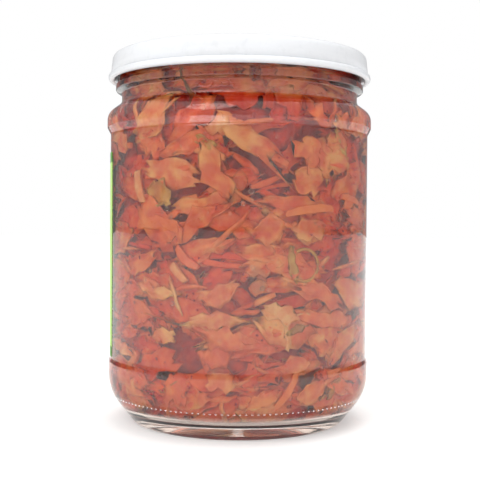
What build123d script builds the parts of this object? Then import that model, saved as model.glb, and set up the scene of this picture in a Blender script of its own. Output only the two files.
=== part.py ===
from build123d import *
import os
from math import radians, sin

# A glass jar of kimchi with a twist-off lid, standing upright.
# Millimetres. The axis of the jar is Z, its bearing ring stands on z = 0, and -Y is the front.

# ---- glass jar: the outside, from the axis; each step is measured from the radius named with it ----
panel_radius = 42.35
heel_proud = 0.55
shoulder_proud = 1.1
shoulder_step = 4.65
bead_proud = 1.95
finish_proud = 0.8
bearing_inset = 8.0
bearing_width = 3.7

# ---- glass jar: rises of the outside, each measured from the one below it ----
punt_height = 2.6
heel_chamfer_rise = 10.4
heel_land_rise = 9.3
panel_low_step_rise = 1.2
panel_height = 72.4
panel_high_step_rise = 2.2
shoulder_land_rise = 4.4
shoulder_slope_rise = 3.4
neck_rise = 3.4
bead_slope_rise = 0.9
bead_height = 1.9
finish_rise = 8.4

# ---- glass jar: roundings and thicknesses ----
bearing_round = 2.0
heel_round = 15.0
step_round = 1.0
shoulder_round = 4.0
neck_round = 2.5
bead_round = 0.7
rim_round = 1.1
wall = 2.3
neck_wall = 2.6
floor_thickness = 3.4
floor_fall_width = 16.05
floor_fall = 1.0
floor_flat_round = 8.0
floor_round = 11.0
cavity_shoulder_drop = 0.9
cavity_shoulder_round = 3.5
cavity_neck_round = 4.0

# ---- thread on the glass: short slanting ribs that sit just above the lugs of the lid ----
thread_count = 6
thread_arc = 34.0
thread_depth = 0.95
thread_height = 1.6
thread_slant = 3.0

# ---- twist-off lid ----
lid_metal = 0.5
lid_seat_clearance = 0.05
lid_bead_gap = 0.35
lid_thread_clearance = 0.65
lid_skirt_flare = 0.8
lid_edge_round = 1.9
lid_panel_drop = 0.45
lid_panel_inset = 1.2
lid_panel_slope = 1.0
curl_thickness = 2.2
curl_proud = 0.7
lug_count = 6
lug_arc = 9.0
lug_height = 1.5
lug_finish_clearance = 0.4
lug_thread_clearance = 0.2

# ---- contents and label ----
fill_clearance = 0.05
headspace = 6.4
fill_crown = 0.6
label_thickness = 0.15
label_glue = 0.03
label_bottom_gap = 0.5
label_height = 65.8
label_start_angle = 8.0
label_wrap_angle = 189.5

# ---- radii of the outside that follow ----
heel_radius = panel_radius + heel_proud
shoulder_radius = panel_radius + shoulder_proud
neck_radius = shoulder_radius - shoulder_step
bead_radius = neck_radius + bead_proud
finish_radius = neck_radius + finish_proud
bearing_outer_radius = heel_radius - bearing_inset
bearing_inner_radius = bearing_outer_radius - bearing_width

# ---- heights of the outside that follow ----
heel_land_z = heel_chamfer_rise + heel_land_rise
panel_low_z = heel_land_z + panel_low_step_rise
panel_high_z = panel_low_z + panel_height
shoulder_low_z = panel_high_z + panel_high_step_rise
shoulder_high_z = shoulder_low_z + shoulder_land_rise
neck_low_z = shoulder_high_z + shoulder_slope_rise
neck_high_z = neck_low_z + neck_rise
bead_low_z = neck_high_z + bead_slope_rise
bead_high_z = bead_low_z + bead_height
finish_low_z = bead_high_z + bead_slope_rise
rim_z = finish_low_z + finish_rise

# ---- the cavity follows from the outside ----
cavity_radius = panel_radius - wall
mouth_radius = neck_radius - neck_wall
cavity_floor_z = punt_height + floor_thickness
cavity_shoulder_z = shoulder_high_z - cavity_shoulder_drop
cavity_slope = shoulder_slope_rise / shoulder_step
cavity_neck_z = cavity_shoulder_z + cavity_slope * (cavity_radius - mouth_radius)
fill_z = rim_z - headspace

# ---- the lid follows from the finish of the glass, and the thread from the lid ----
lid_underside_z = rim_z + lid_seat_clearance
lid_top_z = lid_underside_z + lid_metal
lid_bottom_z = finish_low_z + lid_bead_gap
skirt_inner_radius = finish_radius + thread_depth + lid_thread_clearance
curl_radius = curl_thickness / 2
curl_z = lid_bottom_z + curl_radius
curl_outer_radius = skirt_inner_radius + lid_skirt_flare + lid_metal + curl_proud
curl_centre_radius = curl_outer_radius - curl_radius
lug_top_z = curl_z + lug_height / 2
thread_half_rise = finish_radius * sin(radians(thread_arc / 2)) * sin(radians(thread_slant))
thread_z = lug_top_z + lug_thread_clearance + thread_half_rise + thread_height / 2


def turned(corners):
    """Solid turned about Z from (radius, height, rounding) corners that start and end on the axis."""
    points = [(radius, 0, height) for radius, height, rounding in corners]
    roundings = [rounding for radius, height, rounding in corners[1:-1]]
    outline = FilletPolyline(*points, radius=roundings)
    axis_edge = Line(points[-1], points[0])
    return revolve(make_face(outline + axis_edge), Axis.Z)


def ring_sector(inner, outer, low, high, arc):
    """Block of a ring of rectangular section that is centred on +X and spans arc degrees."""
    section = Rectangle(outer - inner, high - low)
    section = Plane.XZ * Pos((inner + outer) / 2, (low + high) / 2) * section
    return Rot(0, 0, -arc / 2) * revolve(section, Axis.Z, arc)


def around(count, piece):
    """Copies of a piece spread evenly about Z."""
    return [Rot(0, 0, turn * 360 / count) * piece for turn in range(count)]


def cavity(gap, top_corners):
    """Space inside the glass, shrunk by gap from the floor and walls, up to the corners given for its top."""
    wall_radius = cavity_radius - gap
    neck = mouth_radius - gap
    floor_z = cavity_floor_z + gap
    return turned(
        [
            (0, floor_z, 0),
            (cavity_radius - floor_fall_width, floor_z, floor_flat_round),
            (wall_radius, floor_z - floor_fall, floor_round),
            (wall_radius, cavity_shoulder_z, cavity_shoulder_round),
            (neck, cavity_neck_z, cavity_neck_round),
            *top_corners,
        ]
    )


def glass_jar():
    """Jar of clear glass: punted base, round heel, sunk label panel, shoulder, bead and threaded finish."""
    body = turned(
        [
            (0, punt_height, 0),
            (bearing_inner_radius - punt_height, punt_height, bearing_round),
            (bearing_inner_radius, 0, 0),
            (bearing_outer_radius, 0, bearing_round),
            (heel_radius, heel_chamfer_rise, heel_round),
            (heel_radius, heel_land_z, step_round),
            (panel_radius, panel_low_z, step_round),
            (panel_radius, panel_high_z, step_round),
            (shoulder_radius, shoulder_low_z, step_round),
            (shoulder_radius, shoulder_high_z, shoulder_round),
            (neck_radius, neck_low_z, neck_round),
            (neck_radius, neck_high_z, bead_round),
            (bead_radius, bead_low_z, bead_round),
            (bead_radius, bead_high_z, bead_round),
            (finish_radius, finish_low_z, bead_round),
            (finish_radius, rim_z, rim_round),
            (0, rim_z, 0),
        ]
    )
    mouth_top = [
        (mouth_radius, rim_z - rim_round, 0),
        (mouth_radius + rim_round, rim_z, 0),
        (mouth_radius + rim_round, rim_z + rim_round, 0),
        (0, rim_z + rim_round, 0),
    ]
    body -= cavity(0, mouth_top)
    rib = ring_sector(
        finish_radius - thread_depth,
        finish_radius + thread_depth,
        thread_z - thread_height / 2,
        thread_z + thread_height / 2,
        thread_arc,
    )
    rib = fillet(rib.edges(), thread_height / 4)
    rib = Pos(0, 0, thread_z) * Rot(thread_slant, 0, 0) * Pos(0, 0, -thread_z) * rib
    for slanted_rib in around(thread_count, rib):
        body += slanted_rib
    return body


def screw_lid():
    """Twist-off lid of sheet metal: sunk panel, rounded edge, flared skirt, rolled curl and lugs."""
    sunk_radius = mouth_radius - lid_panel_inset - lid_panel_slope
    raised_radius = mouth_radius - lid_panel_inset
    skirt_outer_radius = skirt_inner_radius + lid_metal
    slope_round = lid_panel_slope / 2
    lid = turned(
        [
            (0, lid_top_z - lid_panel_drop, 0),
            (sunk_radius, lid_top_z - lid_panel_drop, slope_round),
            (raised_radius, lid_top_z, slope_round),
            (skirt_outer_radius, lid_top_z, lid_edge_round),
            (skirt_outer_radius + lid_skirt_flare, curl_z, 0),
            (skirt_inner_radius + lid_skirt_flare, curl_z, 0),
            (skirt_inner_radius, lid_underside_z, lid_edge_round - lid_metal),
            (raised_radius, lid_underside_z, slope_round),
            (sunk_radius, lid_underside_z - lid_panel_drop, slope_round),
            (0, lid_underside_z - lid_panel_drop, 0),
        ]
    )
    lid += Pos(0, 0, curl_z) * Torus(curl_centre_radius, curl_radius)
    lug = ring_sector(
        finish_radius + lug_finish_clearance,
        curl_centre_radius,
        lug_top_z - lug_height,
        lug_top_z,
        lug_arc,
    )
    lug = fillet(lug.edges(), lug_height / 5)
    for turned_lug in around(lug_count, lug):
        lid += turned_lug
    return lid


def kimchi():
    """Kimchi and its brine: one solid that fills the jar up to a slightly crowned top."""
    neck = mouth_radius - fill_clearance
    return cavity(fill_clearance, [(neck, fill_z, fill_crown), (0, fill_z + fill_crown, 0)])


def label():
    """Paper label wrapped round the back of the sunk panel."""
    inner = panel_radius + label_glue
    low = panel_low_z + label_bottom_gap
    sheet = ring_sector(inner, inner + label_thickness, low, low + label_height, label_wrap_angle)
    return Rot(0, 0, label_start_angle + label_wrap_angle / 2) * sheet


pieces = {
    "glass_jar": glass_jar(),
    "screw_lid": screw_lid(),
    "kimchi": kimchi(),
    "label": label(),
}

os.makedirs("parts", exist_ok=True)
for name, piece in pieces.items():
    export_step(piece, f"parts/{name}.step")
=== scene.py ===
"""A jar of kimchi with a white lid and a green label, worked out in millimetres."""

import functools
import logging
import math
import random
from dataclasses import dataclass
from enum import Enum

import bmesh
import bpy
from mathutils import Matrix, Vector, noise


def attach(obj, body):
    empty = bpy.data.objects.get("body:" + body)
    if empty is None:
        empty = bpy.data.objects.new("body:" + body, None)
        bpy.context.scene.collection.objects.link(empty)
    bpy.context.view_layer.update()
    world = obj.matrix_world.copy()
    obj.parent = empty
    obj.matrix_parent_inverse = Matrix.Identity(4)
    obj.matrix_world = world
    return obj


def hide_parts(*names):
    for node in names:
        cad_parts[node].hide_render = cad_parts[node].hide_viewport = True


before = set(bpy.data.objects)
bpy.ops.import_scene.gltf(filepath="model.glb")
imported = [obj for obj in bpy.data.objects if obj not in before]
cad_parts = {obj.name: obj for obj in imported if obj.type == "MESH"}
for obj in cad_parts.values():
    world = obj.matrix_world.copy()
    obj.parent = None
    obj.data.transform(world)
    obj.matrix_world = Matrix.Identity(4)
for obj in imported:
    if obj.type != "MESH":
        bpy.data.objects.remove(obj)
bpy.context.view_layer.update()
LOG = logging.getLogger("kimchi_jar")
MILLIMETRE = 0.001
FRONT = -math.pi / 2
BODY = "root"

Corner = tuple[float, float, float]
Point = tuple[float, float]
Colour = tuple[float, float, float]


# ---------------------------------------------------------------- shader graph


class Value:
    """One number or colour that runs through a material, which sums and products can be written with."""

    def __init__(self, graph: "Graph", socket: bpy.types.NodeSocket | None) -> None:
        """Wraps an output socket of a node in the graph."""
        self.graph = graph
        self.socket = socket

    def maths(self, operation: str, other: "Value | float", swapped: bool = False) -> "Value":
        """Adds a Math node.

        Args:
            operation: the Math node's operation.
            other: the second number.
            swapped: whether the second number comes first.

        Returns:
            The node's result.
        """
        pair = (other, self) if swapped else (self, other)
        return self.graph.node("ShaderNodeMath", {"operation": operation}, {0: pair[0], 1: pair[1]})

    def __add__(self, other: "Value | float") -> "Value":
        """Sum."""
        return self.maths("ADD", other)

    def __radd__(self, other: float) -> "Value":
        """Sum with a plain number first."""
        return self.maths("ADD", other, True)

    def __sub__(self, other: "Value | float") -> "Value":
        """Difference."""
        return self.maths("SUBTRACT", other)

    def __rsub__(self, other: float) -> "Value":
        """Difference from a plain number."""
        return self.maths("SUBTRACT", other, True)

    def __mul__(self, other: "Value | float") -> "Value":
        """Product."""
        return self.maths("MULTIPLY", other)

    def __rmul__(self, other: float) -> "Value":
        """Product with a plain number first."""
        return self.maths("MULTIPLY", other, True)

    def __truediv__(self, other: "Value | float") -> "Value":
        """Quotient."""
        return self.maths("DIVIDE", other)

    def clamped(self) -> "Value":
        """The value kept between 0 and 1."""
        return self.maths("MINIMUM", 1.0).maths("MAXIMUM", 0.0)

    def above(self, edge: float, softness: float) -> "Value":
        """0 below the edge and 1 above it, with a soft step between.

        Args:
            edge: middle of the step.
            softness: width of the step.

        Returns:
            The mask.
        """
        return ((self - edge) / softness + 0.5).clamped()


class Graph:
    """Nodes of one material or world."""

    def __init__(self, tree: bpy.types.NodeTree) -> None:
        """Starts from an empty tree."""
        self.tree = tree
        self.tree.nodes.clear()

    def node(
        self, kind: str, settings: dict | None = None, inputs: dict | None = None, output: int | str = 0
    ) -> Value:
        """Adds a node.

        Args:
            kind: the node's type.
            settings: its settings, set first; "stops" gives a colour ramp's stops.
            inputs: values or links of its sockets, by name or number.
            output: which output to go on with.

        Returns:
            That output.
        """
        made = self.tree.nodes.new(kind)
        for name, setting in (settings or {}).items():
            if name == "stops":
                self.set_stops(made, setting)
            else:
                setattr(made, name, setting)
        for name, given in (inputs or {}).items():
            if isinstance(given, Value):
                self.tree.links.new(given.socket, made.inputs[name])
            else:
                made.inputs[name].default_value = given
        return Value(self, made.outputs[output] if made.outputs else None)

    @staticmethod
    def set_stops(ramp: bpy.types.ShaderNode, stops: list[tuple[float, Colour]]) -> None:
        """Gives a colour ramp its stops.

        Args:
            ramp: the ramp's node.
            stops: place and colour of each stop.
        """
        elements = ramp.color_ramp.elements
        while len(elements) > 1:
            elements.remove(elements[-1])
        elements[0].position = stops[0][0]
        elements[0].color = (*stops[0][1], 1.0)
        for place, colour in stops[1:]:
            elements.new(place).color = (*colour, 1.0)

    def mix(self, amount: Value | float, first: Value | Colour, second: Value | Colour) -> Value:
        """Blend of two colours.

        Args:
            amount: 0 for the first and 1 for the second.
            first: colour at 0.
            second: colour at 1.

        Returns:
            The blended colour.
        """
        pair = [c if isinstance(c, Value) else (*c, 1.0) for c in (first, second)]
        return self.node("ShaderNodeMix", {"data_type": "RGBA"}, {0: amount, 6: pair[0], 7: pair[1]}, 2)

    def position(self) -> Value:
        """Object coordinates."""
        return self.node("ShaderNodeTexCoord", output="Object")

    def attribute(self, name: str) -> Value:
        """A number kept in the mesh."""
        return self.node("ShaderNodeAttribute", {"attribute_name": name}, output="Fac")

    def clouds(self, scale: float, detail: float = 3.0, stretch: Colour = (1, 1, 1)) -> Value:
        """Noise on Object coordinates.

        Args:
            scale: how fine it is.
            detail: number of finer layers.
            stretch: scale along each axis.

        Returns:
            The noise, about 0 to 1.
        """
        place = self.node("ShaderNodeMapping", inputs={"Vector": self.position(), "Scale": stretch})
        return self.node("ShaderNodeTexNoise", inputs={"Vector": place, "Scale": scale, "Detail": detail})

    def bump(self, height: Value, strength: float, distance: float) -> Value:
        """Normal of a slightly uneven surface."""
        given = {"Height": height, "Strength": strength, "Distance": distance}
        return self.node("ShaderNodeBump", inputs=given)


def linear(red: int, green: int, blue: int) -> Colour:
    """A colour of 0 to 255 on screen as the shader's linear colour."""
    shares = [part / 255 for part in (red, green, blue)]
    return tuple(
        ((share + 0.055) / 1.055) ** 2.4 if share > 10 / 255 else share / 12.92 for share in shares
    )


@dataclass(frozen=True)
class Finish:
    """Finish of one kind of surface: the settings that are the same all over it."""

    name: str
    slot: str
    colour: Colour
    roughness: float = 0.4
    coat: float = 0.0
    transmission: float = 0.0
    ior: float = 1.45

    def start(self) -> tuple[bpy.types.Material, Graph, bpy.types.ShaderNodeBsdfPrincipled]:
        """Makes the material with its plain settings.

        Returns:
            The material, its graph and its Principled node.
        """
        material = bpy.data.materials.new(self.name)
        material.use_nodes = True
        graph = Graph(material.node_tree)
        uniform = {
            "Base Color": (*self.colour, 1.0),
            "Roughness": self.roughness,
            "Coat Weight": self.coat,
            "Coat Roughness": 0.12,
            "Transmission Weight": self.transmission,
            "IOR": self.ior,
        }
        shader = graph.node("ShaderNodeBsdfPrincipled", inputs=uniform)
        graph.node("ShaderNodeOutputMaterial", inputs={"Surface": shader})
        return material, graph, shader.socket.node

    def make(self) -> bpy.types.Material:
        """The finished material."""
        return self.start()[0]


@dataclass(frozen=True)
class Enamel(Finish):
    """White lacquer on sheet metal, a little uneven, with small greyer rubbed spots all over."""

    def make(self) -> bpy.types.Material:
        """The finished material."""
        material, graph, shader = self.start()
        broad = graph.clouds(60.0, 2.0)
        rubbed = graph.clouds(420.0, 4.0).above(0.62, 0.2)
        tint = graph.mix(broad.above(0.5, 0.6), self.colour, linear(238, 241, 246))
        tint = graph.mix(rubbed * 0.25, tint, linear(214, 217, 220))
        graph.tree.links.new(tint.socket, shader.inputs["Base Color"])
        graph.tree.links.new((self.roughness + broad * 0.14).socket, shader.inputs["Roughness"])
        orange_peel = graph.bump(graph.clouds(900.0, 2.0), 0.12, 0.0002)
        graph.tree.links.new(orange_peel.socket, shader.inputs["Normal"])
        return material


@dataclass(frozen=True)
class PrintedPaper(Finish):
    """Light green label with a pale panel, a border and plain bands, laid out on the label's UV map."""

    def make(self) -> bpy.types.Material:
        """The finished material."""
        material, graph, shader = self.start()
        flat = graph.node("ShaderNodeUVMap", {"uv_map": "UVMap"})
        parts = graph.node("ShaderNodeSeparateXYZ", inputs={0: flat}).socket.node
        across, up = Value(graph, parts.outputs[0]), Value(graph, parts.outputs[1])
        from_middle = (across - 0.5).maths("MULTIPLY", 2.0).maths("ABSOLUTE", 0.0)
        from_half_height = (up - 0.5).maths("MULTIPLY", 2.0).maths("ABSOLUTE", 0.0)
        panel = (1.0 - from_middle.above(0.42, 0.004)) * (1.0 - from_half_height.above(0.72, 0.01))
        band = (1.0 - from_half_height.above(0.16, 0.01)) * (1.0 - from_middle.above(0.36, 0.004))
        edge = from_half_height.above(0.9, 0.012)
        colour = graph.mix(panel, self.colour, linear(246, 247, 236))
        colour = graph.mix(band, colour, linear(214, 78, 40))
        colour = graph.mix(edge, colour, linear(92, 158, 62))
        fibre = graph.clouds(900.0, 4.0, (1, 1, 0.4))
        colour = graph.mix(fibre.above(0.5, 0.7) * 0.1, colour, linear(232, 244, 214))
        graph.tree.links.new(colour.socket, shader.inputs["Base Color"])
        graph.tree.links.new(graph.bump(fibre, 0.1, 0.0001).socket, shader.inputs["Normal"])
        return material


@dataclass(frozen=True)
class WetVegetable(Finish):
    """Fermented vegetable: tone from piece to piece (on the packed inside, painted shade in its hollows),
    chilli stain in clouds, fine ribs and a wet gloss.
    """

    pale: Colour = (0.9, 0.6, 0.3)
    dark: Colour = (0.5, 0.1, 0.02)
    stain: Colour = (0.45, 0.05, 0.005)
    stained: float = 0.5

    def make(self) -> bpy.types.Material:
        """The finished material."""
        material, graph, shader = self.start()
        # tone attribute: each bit's own tone; on the packed inside it is painted shade, darker in its
        # hollows
        tone = graph.attribute("tone")
        blotch = graph.clouds(190.0, 3.0)
        fine = graph.clouds(800.0, 4.0, (1, 1, 0.35))
        stops = [(0.0, self.dark), (0.45, self.colour), (1.0, self.pale)]
        shade = (tone * 0.75 + blotch * 0.7 - 0.18).clamped()
        colour = graph.node("ShaderNodeValToRGB", {"stops": stops}, {0: shade})
        rub = (1.0 - blotch).above(0.5, 0.22) * self.stained
        colour = graph.mix(rub, colour, self.stain)
        colour = graph.mix(fine.above(0.6, 0.2) * 0.22, colour, self.pale)
        graph.tree.links.new(colour.socket, shader.inputs["Base Color"])
        graph.tree.links.new((self.roughness + fine * 0.2).socket, shader.inputs["Roughness"])
        graph.tree.links.new(graph.bump(fine, 0.35, 0.0006).socket, shader.inputs["Normal"])
        return material


@dataclass(frozen=True)
class Brine(Finish):
    """Clear orange-red brine that darkens with depth."""

    density: float = 300.0
    passes: Colour = (0.94, 0.3, 0.0)

    def make(self) -> bpy.types.Material:
        """The finished material."""
        material, graph, _ = self.start()
        absorbed = {"Color": (*self.passes, 1.0), "Density": self.density}
        depth = graph.node("ShaderNodeVolumeAbsorption", inputs=absorbed)
        output = next(n for n in graph.tree.nodes if n.type == "OUTPUT_MATERIAL")
        graph.tree.links.new(depth.socket, output.inputs["Volume"])
        return material


@functools.cache
def material_of(finish: Finish) -> bpy.types.Material:
    """The finish's material, made once."""
    return finish.make()


GLASS = Finish("jar_clear_glass", "clear_glass", (0.985, 0.995, 0.99), 0.0, transmission=1.0, ior=1.5)
ENAMEL = Enamel("white_enamel", "lid_enamel", linear(233, 234, 236), 0.26, coat=0.3)
PAPER = PrintedPaper("printed_paper", "label_paper", linear(196, 240, 132), 0.5)
BRINE = Brine("brine", "kimchi", (1.0, 0.95, 0.9), 0.0, transmission=1.0, ior=1.25)
CORE = WetVegetable(
    "kimchi_inside", "kimchi", linear(214, 62, 12), 0.4, 0.3,
    pale=linear(246, 118, 40), dark=linear(160, 28, 4), stain=linear(150, 24, 3), stained=0.5,
)
LEAF = WetVegetable(
    "cabbage_leaf", "kimchi", linear(255, 138, 48), 0.3, 0.4,
    pale=linear(255, 196, 108), dark=linear(240, 92, 24), stain=linear(232, 76, 16), stained=0.7,
)
STEM = WetVegetable(
    "cabbage_stem", "kimchi", linear(255, 172, 96), 0.3, 0.4,
    pale=linear(255, 200, 124), dark=linear(246, 118, 44), stain=linear(240, 96, 30), stained=0.5,
)
CARROT = WetVegetable(
    "carrot", "kimchi", linear(255, 118, 20), 0.3, 0.4,
    pale=linear(255, 150, 48), dark=linear(240, 84, 8), stain=linear(232, 66, 4), stained=0.3,
)
GREENS = WetVegetable(
    "greens", "kimchi", linear(214, 168, 52), 0.3, 0.4,
    pale=linear(240, 200, 84), dark=linear(150, 110, 24), stain=linear(190, 92, 20), stained=0.5,
)
CHILLI = WetVegetable(
    "chilli", "kimchi", linear(190, 28, 6), 0.35, 0.4,
    pale=linear(228, 66, 20), dark=linear(120, 12, 2), stain=linear(130, 14, 3), stained=0.3,
)


# ---------------------------------------------------------------- shapes


def rounded(corners: list[Corner], steps: int = 7) -> list[Point]:
    """Turns each corner of an outline with its own radius.

    Args:
        corners: radius, height and rounding of each corner.
        steps: points on each rounding.

    Returns:
        The outline's points.
    """
    outline: list[Point] = [corners[0][:2]]
    for before, corner, after in zip(corners, corners[1:], corners[2:]):
        here = Vector(corner[:2])
        back = (Vector(before[:2]) - here).normalized()
        ahead = (Vector(after[:2]) - here).normalized()
        half = back.angle(ahead) / 2
        if corner[2] <= 0 or half > math.pi / 2 - 0.01:
            outline.append(tuple(here))
            continue
        reach = corner[2] / math.tan(half)
        centre = here + (back + ahead).normalized() * corner[2] / math.sin(half)
        start = here + back * reach - centre
        end = here + ahead * reach - centre
        turn = start.angle_signed(end)
        for step in range(steps):
            arm = start.copy()
            arm.rotate(Matrix.Rotation(-turn * step / (steps - 1), 2))
            outline.append(tuple(centre + arm))
    outline.append(corners[-1][:2])
    return outline


def lathe(mesh: bmesh.types.BMesh, outline: list[Point], steps: int = 192) -> None:
    """Spins an outline round the jar's axis, closed at its poles, with its faces outwards.

    Args:
        mesh: receives the shape.
        outline: radius and height of each point, upwards on the outside.
        steps: sectors of the full turn.
    """
    points = [mesh.verts.new((radius, 0, height)) for radius, height in outline]
    edges = [mesh.edges.new(pair) for pair in zip(points, points[1:])]
    if outline[0][0] > 0 and outline[-1][0] > 0:
        edges.append(mesh.edges.new((points[-1], points[0])))
    bmesh.ops.spin(
        mesh, geom=[*points, *edges], axis=(0, 0, 1), cent=(0, 0, 0),
        steps=steps, angle=math.tau, use_merge=True,
    )
    bmesh.ops.remove_doubles(mesh, verts=mesh.verts, dist=1e-5)
    bmesh.ops.recalc_face_normals(mesh, faces=mesh.faces)


def block(mesh: bmesh.types.BMesh, size: Colour, cuts: int, round_by: float) -> list[bmesh.types.BMVert]:
    """Small block with rounded edges.

    Args:
        mesh: receives the block.
        size: its length, depth and height.
        cuts: cuts along its length.
        round_by: rounding of its edges.

    Returns:
        Its vertices.
    """
    solid = bmesh.new()
    bmesh.ops.create_cube(solid, size=1.0)
    bmesh.ops.scale(solid, vec=size, verts=solid.verts)
    long_edges = [e for e in solid.edges if abs(e.verts[0].co.x - e.verts[1].co.x) > size[0] / 2]
    bmesh.ops.subdivide_edges(solid, edges=long_edges, cuts=cuts, use_grid_fill=True)
    sharp = [e for e in solid.edges if e.calc_face_angle(0) > 0.5]
    bmesh.ops.bevel(
        solid, geom=sharp, offset=round_by, offset_type="OFFSET", segments=2,
        profile=0.5, affect="EDGES", material=-1,
    )
    first = len(mesh.verts)
    join(mesh, solid)
    mesh.verts.ensure_lookup_table()
    return mesh.verts[first:]


def finish_piece(
    mesh: bmesh.types.BMesh, name: str, finish: Finish, node: str, smooth: bool = True
) -> bpy.types.Object:
    """Turns a finished mesh into a piece of the jar.

    Args:
        mesh: the shape in millimetres; it is freed.
        name: the piece's name.
        finish: its finish.
        node: the CAD node that it stands for.
        smooth: whether its faces are shaded smooth.

    Returns:
        The piece.
    """
    bmesh.ops.scale(mesh, vec=(MILLIMETRE,) * 3, verts=mesh.verts)
    data = bpy.data.meshes.new(name)
    mesh.to_mesh(data)
    mesh.free()
    data.polygons.foreach_set("use_smooth", [smooth] * len(data.polygons))
    data.materials.append(material_of(finish))
    piece = bpy.data.objects.new(name, data)
    bpy.context.scene.collection.objects.link(piece)
    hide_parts(node)
    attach(piece, BODY)
    LOG.info("%s: %d faces", name, len(data.polygons))
    return piece


# ---------------------------------------------------------------- glass, lid and label


@dataclass
class GlassJar:
    """The jar: punted base, round heel, sunk label panel, shoulder, bead and threaded finish."""

    wall_radius: float = 40.05
    mouth_radius: float = 36.2
    floor: float = 6.0
    floor_flat: float = 24.0
    floor_fall: float = 1.0
    shoulder: float = 99.0
    neck: float = 101.814
    rim: float = 118.8
    rim_round: float = 1.1
    above_rim: float = 120.0
    thread_count: int = 6
    thread_arc: float = 34.0
    thread_height: float = 1.6
    thread_depth: float = 0.95
    thread_z: float = 114.2
    thread_slant: float = 3.0
    punt_height: float = 2.6
    punt_radius: float = 28.6
    bearing_inner: float = 31.2
    bearing_outer: float = 34.9
    bearing_round: float = 2.0
    heel_radius: float = 42.9
    heel_corner: float = 10.4
    heel_round: float = 15.0
    heel_land: float = 19.7
    panel_radius: float = 42.35
    panel_low: float = 20.9
    panel_high: float = 93.3
    step_round: float = 1.0
    shoulder_radius: float = 43.45
    shoulder_low: float = 95.5
    shoulder_high: float = 99.9
    shoulder_round: float = 4.0
    neck_radius: float = 38.8
    neck_low: float = 103.3
    neck_high: float = 106.7
    neck_round: float = 2.5
    bead_radius: float = 40.75
    bead_low: float = 107.6
    bead_high: float = 109.5
    bead_round: float = 0.7
    finish_radius: float = 39.6
    finish_low: float = 110.4
    floor_flat_round: float = 8.0
    floor_round: float = 11.0
    inner_shoulder_round: float = 3.5
    inner_neck_round: float = 4.0
    rib_round: float = 0.35
    rib_cuts: int = 9
    dot_count: int = 150
    dot_size: float = 0.26
    dot_radius: float = 42.35
    dot_z: float = 9.3

    def cavity(self, gap: float) -> list[Corner]:
        """Corners of the space inside, from the axis up to the neck.

        Args:
            gap: how far the space is drawn in from the floor and walls.

        Returns:
            The corners.
        """
        wall = self.wall_radius - gap
        return [
            (0, self.floor + gap, 0),
            (self.floor_flat, self.floor + gap, self.floor_flat_round),
            (wall, self.floor + gap - self.floor_fall, self.floor_round),
            (wall, self.shoulder, self.inner_shoulder_round),
            (self.mouth_radius - gap, self.neck, self.inner_neck_round),
        ]

    def outside(self) -> list[Corner]:
        """Corners of the outside, from the axis under the base up to the rim."""
        return [
            (0, self.punt_height, 0),
            (self.punt_radius, self.punt_height, self.bearing_round),
            (self.bearing_inner, 0, 0),
            (self.bearing_outer, 0, self.bearing_round),
            (self.heel_radius, self.heel_corner, self.heel_round),
            (self.heel_radius, self.heel_land, self.step_round),
            (self.panel_radius, self.panel_low, self.step_round),
            (self.panel_radius, self.panel_high, self.step_round),
            (self.shoulder_radius, self.shoulder_low, self.step_round),
            (self.shoulder_radius, self.shoulder_high, self.shoulder_round),
            (self.neck_radius, self.neck_low, self.neck_round),
            (self.neck_radius, self.neck_high, self.bead_round),
            (self.bead_radius, self.bead_low, self.bead_round),
            (self.bead_radius, self.bead_high, self.bead_round),
            (self.finish_radius, self.finish_low, self.bead_round),
            (self.finish_radius, self.rim, self.rim_round),
        ]

    def wall_at(self, height: float) -> float:
        """Radius of the inner wall at a height.

        Args:
            height: above the base.

        Returns:
            The radius.
        """
        profile = self.profile
        for low, high in zip(profile, profile[1:]):
            if low[1] <= height <= high[1] and high[1] > low[1]:
                return low[0] + (high[0] - low[0]) * (height - low[1]) / (high[1] - low[1])
        return self.mouth_radius

    @functools.cached_property
    def profile(self) -> list[Point]:
        """The inner wall's outline past the floor, worked out once."""
        return rounded([*self.cavity(0.0), (self.mouth_radius, self.above_rim, 0)])[3:]

    def ribs(self, mesh: bmesh.types.BMesh) -> None:
        """Adds the short slanting ribs of the thread."""
        length = math.radians(self.thread_arc) * self.finish_radius
        for turn in range(self.thread_count):
            rib = bmesh.new()
            size = (length, self.thread_depth * 2, self.thread_height)
            for vert in block(rib, size, self.rib_cuts, self.rib_round):
                angle = vert.co.x / self.finish_radius
                radius = self.finish_radius + vert.co.y * (1 - (2 * vert.co.x / length) ** 6)
                rise = vert.co.x * math.sin(math.radians(self.thread_slant))
                angle += turn * math.tau / self.thread_count
                height = self.thread_z + vert.co.z + rise
                vert.co = (radius * math.cos(angle), radius * math.sin(angle), height)
            join(mesh, rib)

    def heel_dots(self, mesh: bmesh.types.BMesh) -> None:
        """Adds the ring of small knurled dots low on the heel."""
        for turn in range(self.dot_count):
            angle = turn * math.tau / self.dot_count
            verts = bmesh.ops.create_icosphere(mesh, subdivisions=1, radius=self.dot_size)["verts"]
            bmesh.ops.scale(mesh, vec=(0.6, 1.6, 0.8), verts=verts)
            place = Matrix.Rotation(angle, 3, "Z")
            bmesh.ops.rotate(mesh, matrix=place, verts=verts)
            centre = (self.dot_radius * math.cos(angle), self.dot_radius * math.sin(angle), self.dot_z)
            bmesh.ops.translate(mesh, vec=centre, verts=verts)

    def build(self) -> bpy.types.Object:
        """Makes the jar."""
        mesh = bmesh.new()
        inner = rounded([
            *self.cavity(0.0),
            (self.mouth_radius, self.rim, self.rim_round),
            (self.finish_radius, self.rim, 0),
        ])[:-1]
        outer = rounded([*self.outside(), (self.mouth_radius, self.rim, 0)])[:-1]
        lathe(mesh, [*outer, *reversed(inner)])
        self.ribs(mesh)
        self.heel_dots(mesh)
        return finish_piece(mesh, "jar_glass", GLASS, "glass_jar")


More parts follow.
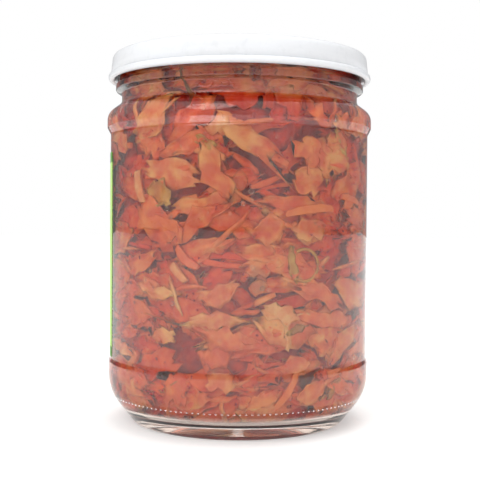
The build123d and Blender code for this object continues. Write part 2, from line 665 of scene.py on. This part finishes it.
@dataclass
class TwistLid:
    """White twist-off lid: sunk panel, rounded edge, flared skirt, rolled curl and lugs."""

    top: float = 119.35
    metal: float = 0.5
    sunk: float = 0.45
    sunk_radius: float = 34.0
    raised_radius: float = 35.0
    skirt_inner: float = 41.2
    flare: float = 0.8
    edge_round: float = 1.9
    curl_centre: float = 42.1
    curl_radius: float = 1.1
    curl_z: float = 111.85
    lug_count: int = 6
    lug_size: tuple[float, float, float] = (6.4, 2.1, 1.5)
    lug_radius: float = 41.05
    lug_cuts: int = 4
    lug_round: float = 0.3
    panel_round: float = 0.5
    curl_steps: int = 20

    def outline(self) -> list[Corner]:
        """Corners of the lid's section, from the axis on top, round the skirt, to the axis below."""
        under = self.top - self.metal
        skirt = self.skirt_inner + self.metal
        flared = self.skirt_inner + self.flare
        return [
            (0, self.top - self.sunk, 0),
            (self.sunk_radius, self.top - self.sunk, self.panel_round),
            (self.raised_radius, self.top, self.panel_round),
            (skirt, self.top, self.edge_round),
            (flared + self.metal, self.curl_z, 0),
            (flared, self.curl_z, 0),
            (self.skirt_inner, under, self.edge_round - self.metal),
            (self.raised_radius, under, self.panel_round),
            (self.sunk_radius, under - self.sunk, self.panel_round),
            (0, under - self.sunk, 0),
        ]

    def curl(self, mesh: bmesh.types.BMesh) -> None:
        """Adds the rolled edge.

        Args:
            mesh: the lid so far.
        """
        ring = bmesh.new()
        points = []
        for step in range(self.curl_steps):
            angle = math.tau * step / self.curl_steps
            radius = self.curl_centre + self.curl_radius * math.cos(angle)
            points.append((radius, self.curl_z + self.curl_radius * math.sin(angle)))
        lathe(ring, points)
        join(mesh, ring)

    def lugs(self, mesh: bmesh.types.BMesh) -> None:
        """Adds the lugs that are pressed in from the curl."""
        for turn in range(self.lug_count):
            lug = bmesh.new()
            for vert in block(lug, self.lug_size, self.lug_cuts, self.lug_round):
                radius = self.lug_radius + vert.co.y
                angle = vert.co.x / radius + turn * math.tau / self.lug_count
                vert.co = (radius * math.cos(angle), radius * math.sin(angle), self.curl_z + vert.co.z)
            join(mesh, lug)

    def build(self) -> bpy.types.Object:
        """Makes the lid."""
        mesh = bmesh.new()
        lathe(mesh, rounded(self.outline()))
        self.curl(mesh)
        self.lugs(mesh)
        return finish_piece(mesh, "lid", ENAMEL, "screw_lid")


@dataclass
class PaperLabel:
    """Label wrapped round the back of the sunk panel."""

    radius: float = 42.39
    thickness: float = 0.13
    low: float = 21.4
    height: float = 65.8
    start: float = 8.0
    wrap: float = 189.5
    columns: int = 96
    rows: int = 12

    def build(self) -> bpy.types.Object:
        """Makes the label."""
        mesh = bmesh.new()
        bmesh.ops.create_grid(mesh, x_segments=self.columns, y_segments=self.rows, size=0.5, calc_uvs=True)
        flat = mesh.loops.layers.uv.verify()
        flat_name = flat.name
        for face in mesh.faces:
            for loop in face.loops:
                loop[flat].uv = (loop.vert.co.x + 0.5, loop.vert.co.y + 0.5)
        for vert in mesh.verts:
            angle = math.radians(self.start + self.wrap * (vert.co.x + 0.5))
            height = self.low + self.height * (vert.co.y + 0.5)
            vert.co = (self.radius * math.cos(angle), self.radius * math.sin(angle), height)
        bmesh.ops.recalc_face_normals(mesh, faces=mesh.faces)
        if sum(f.normal.dot(f.calc_center_median().xy.to_3d()) for f in mesh.faces) < 0:
            bmesh.ops.reverse_faces(mesh, faces=mesh.faces)
        bmesh.ops.solidify(mesh, geom=mesh.faces[:], thickness=-self.thickness)
        piece = finish_piece(mesh, "label_sheet", PAPER, "label", smooth=False)
        piece.data.uv_layers[flat_name].name = "UVMap"
        return piece


def join(mesh: bmesh.types.BMesh, other: bmesh.types.BMesh) -> None:
    """Adds another mesh to this one and frees it.

    Args:
        mesh: the mesh that grows.
        other: the mesh that is added.
    """
    data = bpy.data.meshes.new("joined")
    other.to_mesh(data)
    other.free()
    mesh.from_mesh(data)
    bpy.data.meshes.remove(data)


# ---------------------------------------------------------------- kimchi


class Cut(Enum):
    """How a vegetable is cut."""

    LEAF = "leaf"
    CHUNK = "chunk"
    SHRED = "shred"
    STICK = "stick"
    FLAKE = "flake"
    RING = "ring"


@dataclass(frozen=True)
class Placed:
    """One bit of vegetable near the glass; bearing and tilt are in degrees, depth is below the wall."""

    cut: Cut
    bearing: float
    height: float
    length: float
    width: float
    tilt: float = 0.0
    depth: float = 0.6
    tone: float = 0.6


@dataclass
class Kimchi:
    """Packed vegetable in brine: an opaque inside, cut bits near the glass, and the brine."""

    jar: GlassJar
    seed: int = 11
    fill: float = 112.4
    crown: float = 0.6
    core_gap: float = 5.2
    core_steps: int = 150
    core_cuts: int = 60
    core_top_drop: float = 0.9
    lump_height: float = 2.6
    broad_lumps: float = 0.16
    fine_lumps: float = 0.42
    press_gap: float = 0.25
    deepest: float = 9.0
    lowest: float = 6.6
    below_top: float = 0.6
    leaf_count: int = 560
    chunk_count: int = 110
    shred_count: int = 210
    stick_count: int = 90
    green_count: int = 26
    flake_count: int = 900
    handful: int = 16
    slice_thickness: float = 0.8
    slice_wall: float = 0.9
    slice_steps: int = 28
    leaf_thickness: float = 0.45
    shred_thickness: float = 0.6
    leaf_wave: float = 1.9
    shred_wave: float = 0.7
    bubble_count: int = 150
    brine_reach: float = 0.15

    def __post_init__(self) -> None:
        """Starts the random draws."""
        self.draw = random.Random(self.seed)

    def inside(self, height: float) -> float:
        """The height kept between the floor and the top of the brine."""
        return min(max(height, self.lowest), self.fill - self.below_top)

    def pressed(self, radius: float, angle: float, height: float) -> Vector:
        """A place inside the brine, moved in where it would reach the glass.

        Args:
            radius: from the axis.
            angle: round the axis.
            height: above the base.

        Returns:
            The place.
        """
        height = self.inside(height)
        wall = self.jar.wall_at(height)
        radius = min(max(radius, wall - self.deepest), wall - self.press_gap)
        return Vector((radius * math.cos(angle), radius * math.sin(angle), height))

    def shape(self, mesh: bmesh.types.BMesh, bit: Placed) -> list[bmesh.types.BMVert]:
        """Makes one bit flat: length along X, height along Z and depth along Y.

        Args:
            mesh: receives the bit.
            bit: its cut and size.

        Returns:
            Its vertices.
        """
        if bit.cut in (Cut.CHUNK, Cut.STICK):
            thick = min(bit.width, 2.4) * 0.8
            verts = block(mesh, (bit.length, thick, bit.width), 3, min(thick, bit.width) * 0.3)
            return self.roughen(verts, bit, 0.16)
        if bit.cut is Cut.FLAKE:
            verts = bmesh.ops.create_icosphere(mesh, subdivisions=1, radius=0.5)["verts"]
            bmesh.ops.scale(mesh, vec=(bit.length, 0.25, bit.width), verts=verts)
            return verts
        if bit.cut is Cut.RING:
            return self.ring(mesh, bit)
        columns, rows = (7, 5) if bit.cut is Cut.LEAF else (9, 1)
        grid = bmesh.ops.create_grid(mesh, x_segments=columns, y_segments=rows, size=0.5)["verts"]
        self.ruffle(grid, bit)
        faces = list({face for vert in grid for face in vert.link_faces})
        for part in (*faces, *grid):
            part.normal_update()
        thick = self.leaf_thickness if bit.cut is Cut.LEAF else self.shred_thickness
        solid = bmesh.ops.solidify(mesh, geom=faces, thickness=thick)["geom"]
        return list(set(grid) | {g for g in solid if isinstance(g, bmesh.types.BMVert)})

    def ruffle(self, verts: list[bmesh.types.BMVert], bit: Placed) -> None:
        """Gives a flat grid the outline and the waves of a leaf or a shred.

        Args:
            verts: the grid's vertices.
            bit: its cut and size.
        """
        offset = Vector([self.draw.uniform(-50, 50) for _ in range(3)])
        bend = self.draw.uniform(-0.35, 0.35)
        wave = self.leaf_wave if bit.cut is Cut.LEAF else self.shred_wave
        for vert in verts:
            across, along = vert.co.x, vert.co.y
            taper = 1 - 0.5 * abs(2 * across) ** 3
            rag = 1 + 0.85 * noise.noise(offset + Vector((across * 5, along * 2, 0)))
            x = bit.length * across * (1 + 0.55 * noise.noise(offset + Vector((along * 4, 9, 0))))
            z = bit.width * along * taper * rag + bend * bit.length * (across**2 - 0.08)
            curl = noise.noise(offset + Vector((x * 0.3, z * 0.45, 5)))
            vert.co = (x, wave * curl + 0.2 * wave * math.cos(along * 12), z)

    def ring(self, mesh: bmesh.types.BMesh, bit: Placed) -> list[bmesh.types.BMVert]:
        """Makes a thin ring slice.

        Args:
            mesh: receives the slice.
            bit: its size.

        Returns:
            Its vertices.
        """
        thin = bmesh.new()
        half = self.slice_thickness / 2
        outer = bit.length / 2
        inner = outer - self.slice_wall
        lathe(thin, [(inner, -half), (outer, -half), (outer, half), (inner, half)], self.slice_steps)
        bmesh.ops.rotate(thin, matrix=Matrix.Rotation(math.pi / 2, 3, "X"), verts=thin.verts)
        first = len(mesh.verts)
        join(mesh, thin)
        mesh.verts.ensure_lookup_table()
        return mesh.verts[first:]

    def roughen(
        self, verts: list[bmesh.types.BMVert], bit: Placed, amount: float
    ) -> list[bmesh.types.BMVert]:
        """Makes a block less square, with a slight bend.

        Args:
            verts: the block's vertices.
            bit: its size.
            amount: how uneven it gets, as a share of its width.

        Returns:
            The same vertices.
        """
        offset = Vector([self.draw.uniform(-50, 50) for _ in range(3)])
        bend = self.draw.uniform(-0.12, 0.12)
        for vert in verts:
            taper = 1 - 0.3 * (2 * vert.co.x / bit.length) ** 2
            bump = noise.noise_vector(offset + vert.co * 0.6) * amount * bit.width
            vert.co.z = vert.co.z * taper + bend * bit.length * ((vert.co.x / bit.length) ** 2 * 4 - 0.5)
            vert.co += bump
        return verts

    def put(self, mesh: bmesh.types.BMesh, bit: Placed) -> None:
        """Makes one bit and wraps it round the jar at its place.

        Args:
            mesh: receives the bit.
            bit: its cut, size and place.
        """
        verts = self.shape(mesh, bit)
        layer = mesh.verts.layers.float["tone"]
        turn = Matrix.Rotation(math.radians(bit.tilt), 3, "Y")
        for vert in verts:
            local = turn @ vert.co
            height = bit.height + local.z
            wall = self.jar.wall_at(self.inside(bit.height))
            radius = wall - bit.depth + local.y
            angle = FRONT + math.radians(bit.bearing) + local.x / max(radius, 8.0)
            vert.co = self.pressed(radius, angle, height)
            vert[layer] = bit.tone

    def scatter(
        self, cut: Cut, count: int, length: Point, width: Point, depth: Point, lean: float
    ) -> list[Placed]:
        """Draws places for many bits of one cut.

        Args:
            cut: how they are cut.
            count: how many.
            length: shortest and longest.
            width: narrowest and widest.
            depth: shallowest and deepest under the glass.
            lean: most that a bit tilts from lying flat, in degrees.

        Returns:
            The bits.
        """
        draw = self.draw
        bits = []
        for _ in range(count):
            bits.append(Placed(
                cut, draw.uniform(-180, 180), draw.uniform(7, self.fill - 1), draw.uniform(*length),
                draw.uniform(*width), draw.gauss(0, lean), draw.uniform(*depth), draw.random(),
            ))
        return bits

    def heap(self, name: str, finish: Finish, bits: list[Placed]) -> bpy.types.Object:
        """Makes one piece of all the bits of a kind.

        Args:
            name: the piece's name.
            finish: its finish.
            bits: what it is made of.

        Returns:
            The piece.
        """
        mesh = bmesh.new()
        for first in range(0, len(bits), self.handful):
            some = bmesh.new()
            some.verts.layers.float.new("tone")
            for bit in bits[first : first + self.handful]:
                self.put(some, bit)
            join(mesh, some)
        bmesh.ops.recalc_face_normals(mesh, faces=mesh.faces)
        return finish_piece(mesh, name, finish, "kimchi")

    def core(self) -> bpy.types.Object:
        """Makes the opaque packed inside, lumpy all over, with painted shade that darkens its sunken lumps.
        """
        mesh = bmesh.new()
        corners = self.jar.cavity(self.core_gap)
        top = self.fill - self.core_top_drop
        corners += [(self.jar.mouth_radius - self.core_gap, top, 1.5), (0, top + self.crown, 0)]
        lathe(mesh, rounded(corners), self.core_steps)
        walls = [e for e in mesh.edges if abs(e.verts[0].co.z - e.verts[1].co.z) > 4]
        bmesh.ops.subdivide_edges(mesh, edges=walls, cuts=self.core_cuts, use_grid_fill=True)
        layer = mesh.verts.layers.float.new("tone")
        for vert in mesh.verts:
            lump = noise.noise(vert.co * self.broad_lumps) + 0.5 * noise.noise(vert.co * self.fine_lumps)
            out = Vector((vert.co.x, vert.co.y, 0))
            if out.length > 5:
                vert.co += out.normalized() * (self.lump_height * lump)
            # painted shade: tone follows the lump, so sunken hollows come out darker and raised lumps
            # lighter
            vert[layer] = 0.5 + 0.5 * lump
        return finish_piece(mesh, "kimchi_inside", CORE, "kimchi")

    def brine(self) -> bpy.types.Object:
        """Makes the brine, which reaches just into the glass, with its trapped bubbles."""
        mesh = bmesh.new()
        mouth = self.jar.mouth_radius + self.brine_reach
        top = self.fill + self.crown
        corners = [*self.jar.cavity(-self.brine_reach), (mouth, self.fill, 0), (0, top, 0)]
        lathe(mesh, rounded(corners))
        self.bubbles(mesh)
        return finish_piece(mesh, "brine", BRINE, "kimchi")

    def bubbles(self, mesh: bmesh.types.BMesh) -> None:
        """Adds trapped air as hollows in the brine: three large ones at the front and many small ones.

        Args:
            mesh: the brine so far.
        """
        placed = [(0.5, 77.1, 2.3, 3.2, 0.55), (8.1, 48.4, 2.7, 3.9, 0.5), (11.4, 68.2, 1.3, 1.3, 0.0)]
        draw = random.Random(self.seed + 1)
        for _ in range(self.bubble_count):
            size = draw.uniform(0.25, 0.8)
            bearing = draw.uniform(-180, 180)
            height = draw.uniform(12, 104)
            placed.append((bearing, height, size, size * draw.uniform(0.8, 1.3), 0.0))
        for bearing, height, half_width, half_height, point in placed:
            rings = 12 if half_width > 1 else 6
            ball = bmesh.ops.create_uvsphere(mesh, u_segments=2 * rings, v_segments=rings, radius=1.0)
            verts = ball["verts"]
            depth = min(half_width * 0.5, 0.9)
            centre = self.jar.wall_at(height) - depth - 0.12
            for vert in verts:
                narrow = 1 - point * max(vert.co.z, 0) ** 1.5
                half_size = Vector((half_width * narrow, depth, half_height))
                local = half_size * vert.co
                angle = FRONT + math.radians(bearing) + local.x / centre
                radius = centre + local.y
                vert.co = (radius * math.cos(angle), radius * math.sin(angle), height + local.z)
            faces = list({face for vert in verts for face in vert.link_faces})
            bmesh.ops.recalc_face_normals(mesh, faces=faces)
            bmesh.ops.reverse_faces(mesh, faces=faces)

    def build(self) -> None:
        """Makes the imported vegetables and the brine."""
        self.core()
        leaves = [
            Placed(Cut.LEAF, -7.5, 93.0, 8.0, 6.0, 10, 0.8, 0.75),
            Placed(Cut.LEAF, -10.5, 80.0, 17.0, 7.0, 62, 0.9, 0.8),
            Placed(Cut.LEAF, 30.5, 77.3, 10.0, 8.6, 20, 0.8, 0.8),
            Placed(Cut.LEAF, 32.0, 62.7, 10.0, 5.8, -8, 0.7, 0.85),
            Placed(Cut.LEAF, -10.0, 35.7, 16.0, 5.5, -4, 0.7, 0.9),
            Placed(Cut.LEAF, -7.2, 18.7, 8.0, 5.8, 0, 0.6, 0.7),
            Placed(Cut.LEAF, 11.0, 10.6, 16.0, 8.0, -3, 0.7, 0.95),
            Placed(Cut.LEAF, -33.0, 31.0, 7.0, 5.0, 12, 0.7, 0.9),
        ]
        stems = [
            Placed(Cut.CHUNK, -26.0, 50.0, 7.5, 2.6, 48, 1.2, 0.6),
            Placed(Cut.LEAF, 18.7, 38.4, 9.0, 6.4, 14, 0.7, 0.95),
            Placed(Cut.CHUNK, -47.5, 75.5, 10.0, 3.4, 74, 0.7, 0.9),
        ]
        shreds = [
            Placed(Cut.SHRED, 21.0, 31.0, 8.0, 1.6, 84, 0.7, 0.9),
            Placed(Cut.SHRED, -27.0, 43.0, 10.0, 1.0, 70, 0.7, 0.9),
            Placed(Cut.SHRED, -6.0, 9.6, 8.0, 1.2, 78, 0.6, 0.95),
        ]
        sticks = [
            Placed(Cut.STICK, -37.3, 64.2, 16.0, 4.4, 2, 1.0, 0.7),
            Placed(Cut.STICK, 32.0, 68.7, 17.0, 2.6, -6, 0.7, 0.8),
        ]
        greens = [
            Placed(Cut.LEAF, -35.5, 73.7, 9.0, 8.0, 30, 0.7, 0.7),
            Placed(Cut.LEAF, 23.5, 52.6, 10.0, 2.6, 80, 0.6, 0.5),
            Placed(Cut.LEAF, -14.0, 88.0, 6.0, 3.4, 24, 0.8, 0.8),
        ]
        rings = [Placed(Cut.RING, 29.0, 52.4, 10.4, 10.4, 0, 0.9, 0.6)]
        flakes = [Placed(Cut.FLAKE, -6.9, 74.3, 1.3, 0.6, 20), Placed(Cut.FLAKE, -5.2, 57.0, 1.2, 0.6, -30)]
        leaves += self.scatter(Cut.LEAF, self.leaf_count, (8, 20), (3.5, 9), (0.7, 5.0), 26)
        stems += self.scatter(Cut.CHUNK, self.chunk_count, (5, 11), (1.8, 4.4), (1.5, 5.0), 30)
        shreds += self.scatter(Cut.SHRED, self.shred_count, (6, 16), (0.8, 1.8), (1.2, 4.5), 30)
        sticks += self.scatter(Cut.STICK, self.stick_count, (8, 18), (1.6, 2.8), (0.9, 4.5), 24)
        greens += self.scatter(Cut.LEAF, self.green_count, (5, 10), (1.8, 4), (0.6, 4.0), 50)
        flakes += self.scatter(Cut.FLAKE, self.flake_count, (0.5, 1.6), (0.4, 1.0), (0.4, 4.0), 90)
        self.heap("cabbage_leaves", LEAF, leaves)
        self.heap("cabbage_stems", STEM, stems)
        self.heap("cabbage_shreds", STEM, shreds)
        self.heap("carrot_sticks", CARROT, sticks)
        self.heap("greens", GREENS, greens)
        self.heap("onion_ring", GREENS, rings)
        self.heap("chilli_flakes", CHILLI, flakes)
        self.brine()


# ---------------------------------------------------------------- room


@dataclass
class Studio:
    """Pale floor, soft light and the camera."""

    daylight: float = 0.9
    through_glass: float = 1.55
    table_colour: Colour = (0.8, 0.79, 0.78)
    table_glow: float = 0.33
    opening_left: float = -44.0
    opening_right: float = 10.0
    window_left: float = 9.0
    window_right: float = 46.0
    dim_right: float = 118.0
    camera_place: tuple[float, float, float] = (0.0005, -0.3, 0.0658)
    pitch_down: float = 1.309
    roll: float = 0.39
    lens: float = 67.29

    def floor(self) -> None:
        """Makes the white table top, which keeps the jar's shadow."""
        mesh = bmesh.new()
        bmesh.ops.create_grid(mesh, x_segments=4, y_segments=4, size=3.0)
        data = bpy.data.meshes.new("table_top")
        mesh.to_mesh(data)
        mesh.free()
        material = bpy.data.materials.new("table_white")
        material.use_nodes = True
        graph = Graph(material.node_tree)
        surface = graph.node("ShaderNodeBsdfDiffuse", inputs={"Color": (*self.table_colour, 1.0)})
        ray = graph.node("ShaderNodeLightPath").socket.node
        seen = Value(graph, ray.outputs["Is Camera Ray"])
        seen = seen.maths("MAXIMUM", Value(graph, ray.outputs["Is Glossy Ray"]))
        seen = seen.maths("MAXIMUM", Value(graph, ray.outputs["Is Transmission Ray"]))
        white = {"Color": (1.0, 1.0, 1.0, 1.0), "Strength": seen * self.table_glow}
        glow = graph.node("ShaderNodeEmission", inputs=white)
        both = graph.node("ShaderNodeAddShader", inputs={0: surface, 1: glow})
        graph.node("ShaderNodeOutputMaterial", inputs={"Surface": both})
        data.materials.append(material)
        table = bpy.data.objects.new("table_top", data)
        bpy.context.scene.collection.objects.link(table)

    def room(self) -> None:
        """Makes the white room, with a dark opening that the glass mirrors at the front left."""
        world = bpy.data.worlds.new("room")
        world.use_nodes = True
        bpy.context.scene.world = world
        graph = Graph(world.node_tree)
        way = graph.node("ShaderNodeTexCoord", output="Generated")
        parts = graph.node("ShaderNodeSeparateXYZ", inputs={0: way}).socket.node
        side, ahead, up = (Value(graph, parts.outputs[i]) for i in range(3))
        bearing = side.maths("ARCTAN2", 0.0 - ahead) * (180 / math.pi)
        opening = bearing.above(self.opening_left, 8.0) * (1.0 - bearing.above(self.opening_right, 2.0))
        opening = opening * up.above(-0.04, 0.04)
        window = bearing.above(self.window_left, 2.0) * (1.0 - bearing.above(self.window_right, 10.0))
        dim = bearing.above(self.window_right, 10.0) * (1.0 - bearing.above(self.dim_right, 20.0))
        mirrored = (0.34 - opening * 0.34 + window * 0.3 - dim * 0.16).clamped()
        ray = graph.node("ShaderNodeLightPath").socket.node
        plain = Value(graph, ray.outputs["Is Camera Ray"])
        scattered = Value(graph, ray.outputs["Is Diffuse Ray"])
        through = Value(graph, ray.outputs["Is Transmission Ray"]) * (1.0 - plain) * (1.0 - scattered)
        strength = plain + scattered * self.daylight + through * self.through_glass
        other = (1.0 - (plain + scattered + through).clamped()) * mirrored
        white = {"Color": (1.0, 1.0, 1.0, 1.0), "Strength": strength + other}
        light = graph.node("ShaderNodeBackground", inputs=white)
        graph.node("ShaderNodeOutputWorld", inputs={"Surface": light})

    def lamp(self, name: str, place: Vector, size: float, power: float) -> None:
        """Adds one soft lamp that faces the jar.

        Args:
            name: the lamp's name.
            place: where it stands.
            size: its width.
            power: its power in watts.
        """
        data = bpy.data.lights.new(name, "AREA")
        data.shape = "DISK"
        data.size = size
        data.energy = power
        lamp = bpy.data.objects.new(name, data)
        lamp.location = place
        lamp.rotation_euler = (Vector((0, 0, 0.06)) - place).to_track_quat("-Z", "Y").to_euler()
        lamp.visible_camera = False
        lamp.visible_glossy = False
        bpy.context.scene.collection.objects.link(lamp)

    def camera(self) -> None:
        """Sets the camera."""
        data = bpy.data.cameras.new("camera")
        data.lens = self.lens
        data.sensor_width = 36.0
        data.clip_start = 0.01
        camera = bpy.data.objects.new("camera", data)
        turn = Matrix.Rotation(math.radians(90 - self.pitch_down), 4, "X") @ Matrix.Rotation(
            math.radians(self.roll), 4, "Z"
        )
        camera.matrix_world = Matrix.Translation(self.camera_place) @ turn
        bpy.context.scene.collection.objects.link(camera)
        bpy.context.scene.camera = camera

    def build(self) -> None:
        """Sets the scene."""
        self.floor()
        self.room()
        self.lamp("soft_front", Vector((-0.5, -0.9, 0.9)), 0.9, 6.0)
        self.lamp("soft_top", Vector((0.2, 0.2, 1.3)), 1.2, 6.0)
        self.camera()
        bpy.context.scene.view_settings.view_transform = "Standard"


def main() -> None:
    """Builds the jar and its scene."""
    logging.basicConfig(level=logging.INFO)
    jar = GlassJar()
    jar.build()
    TwistLid().build()
    PaperLabel().build()
    Kimchi(jar).build()
    Studio().build()


if __name__ == "__main__":
    main()
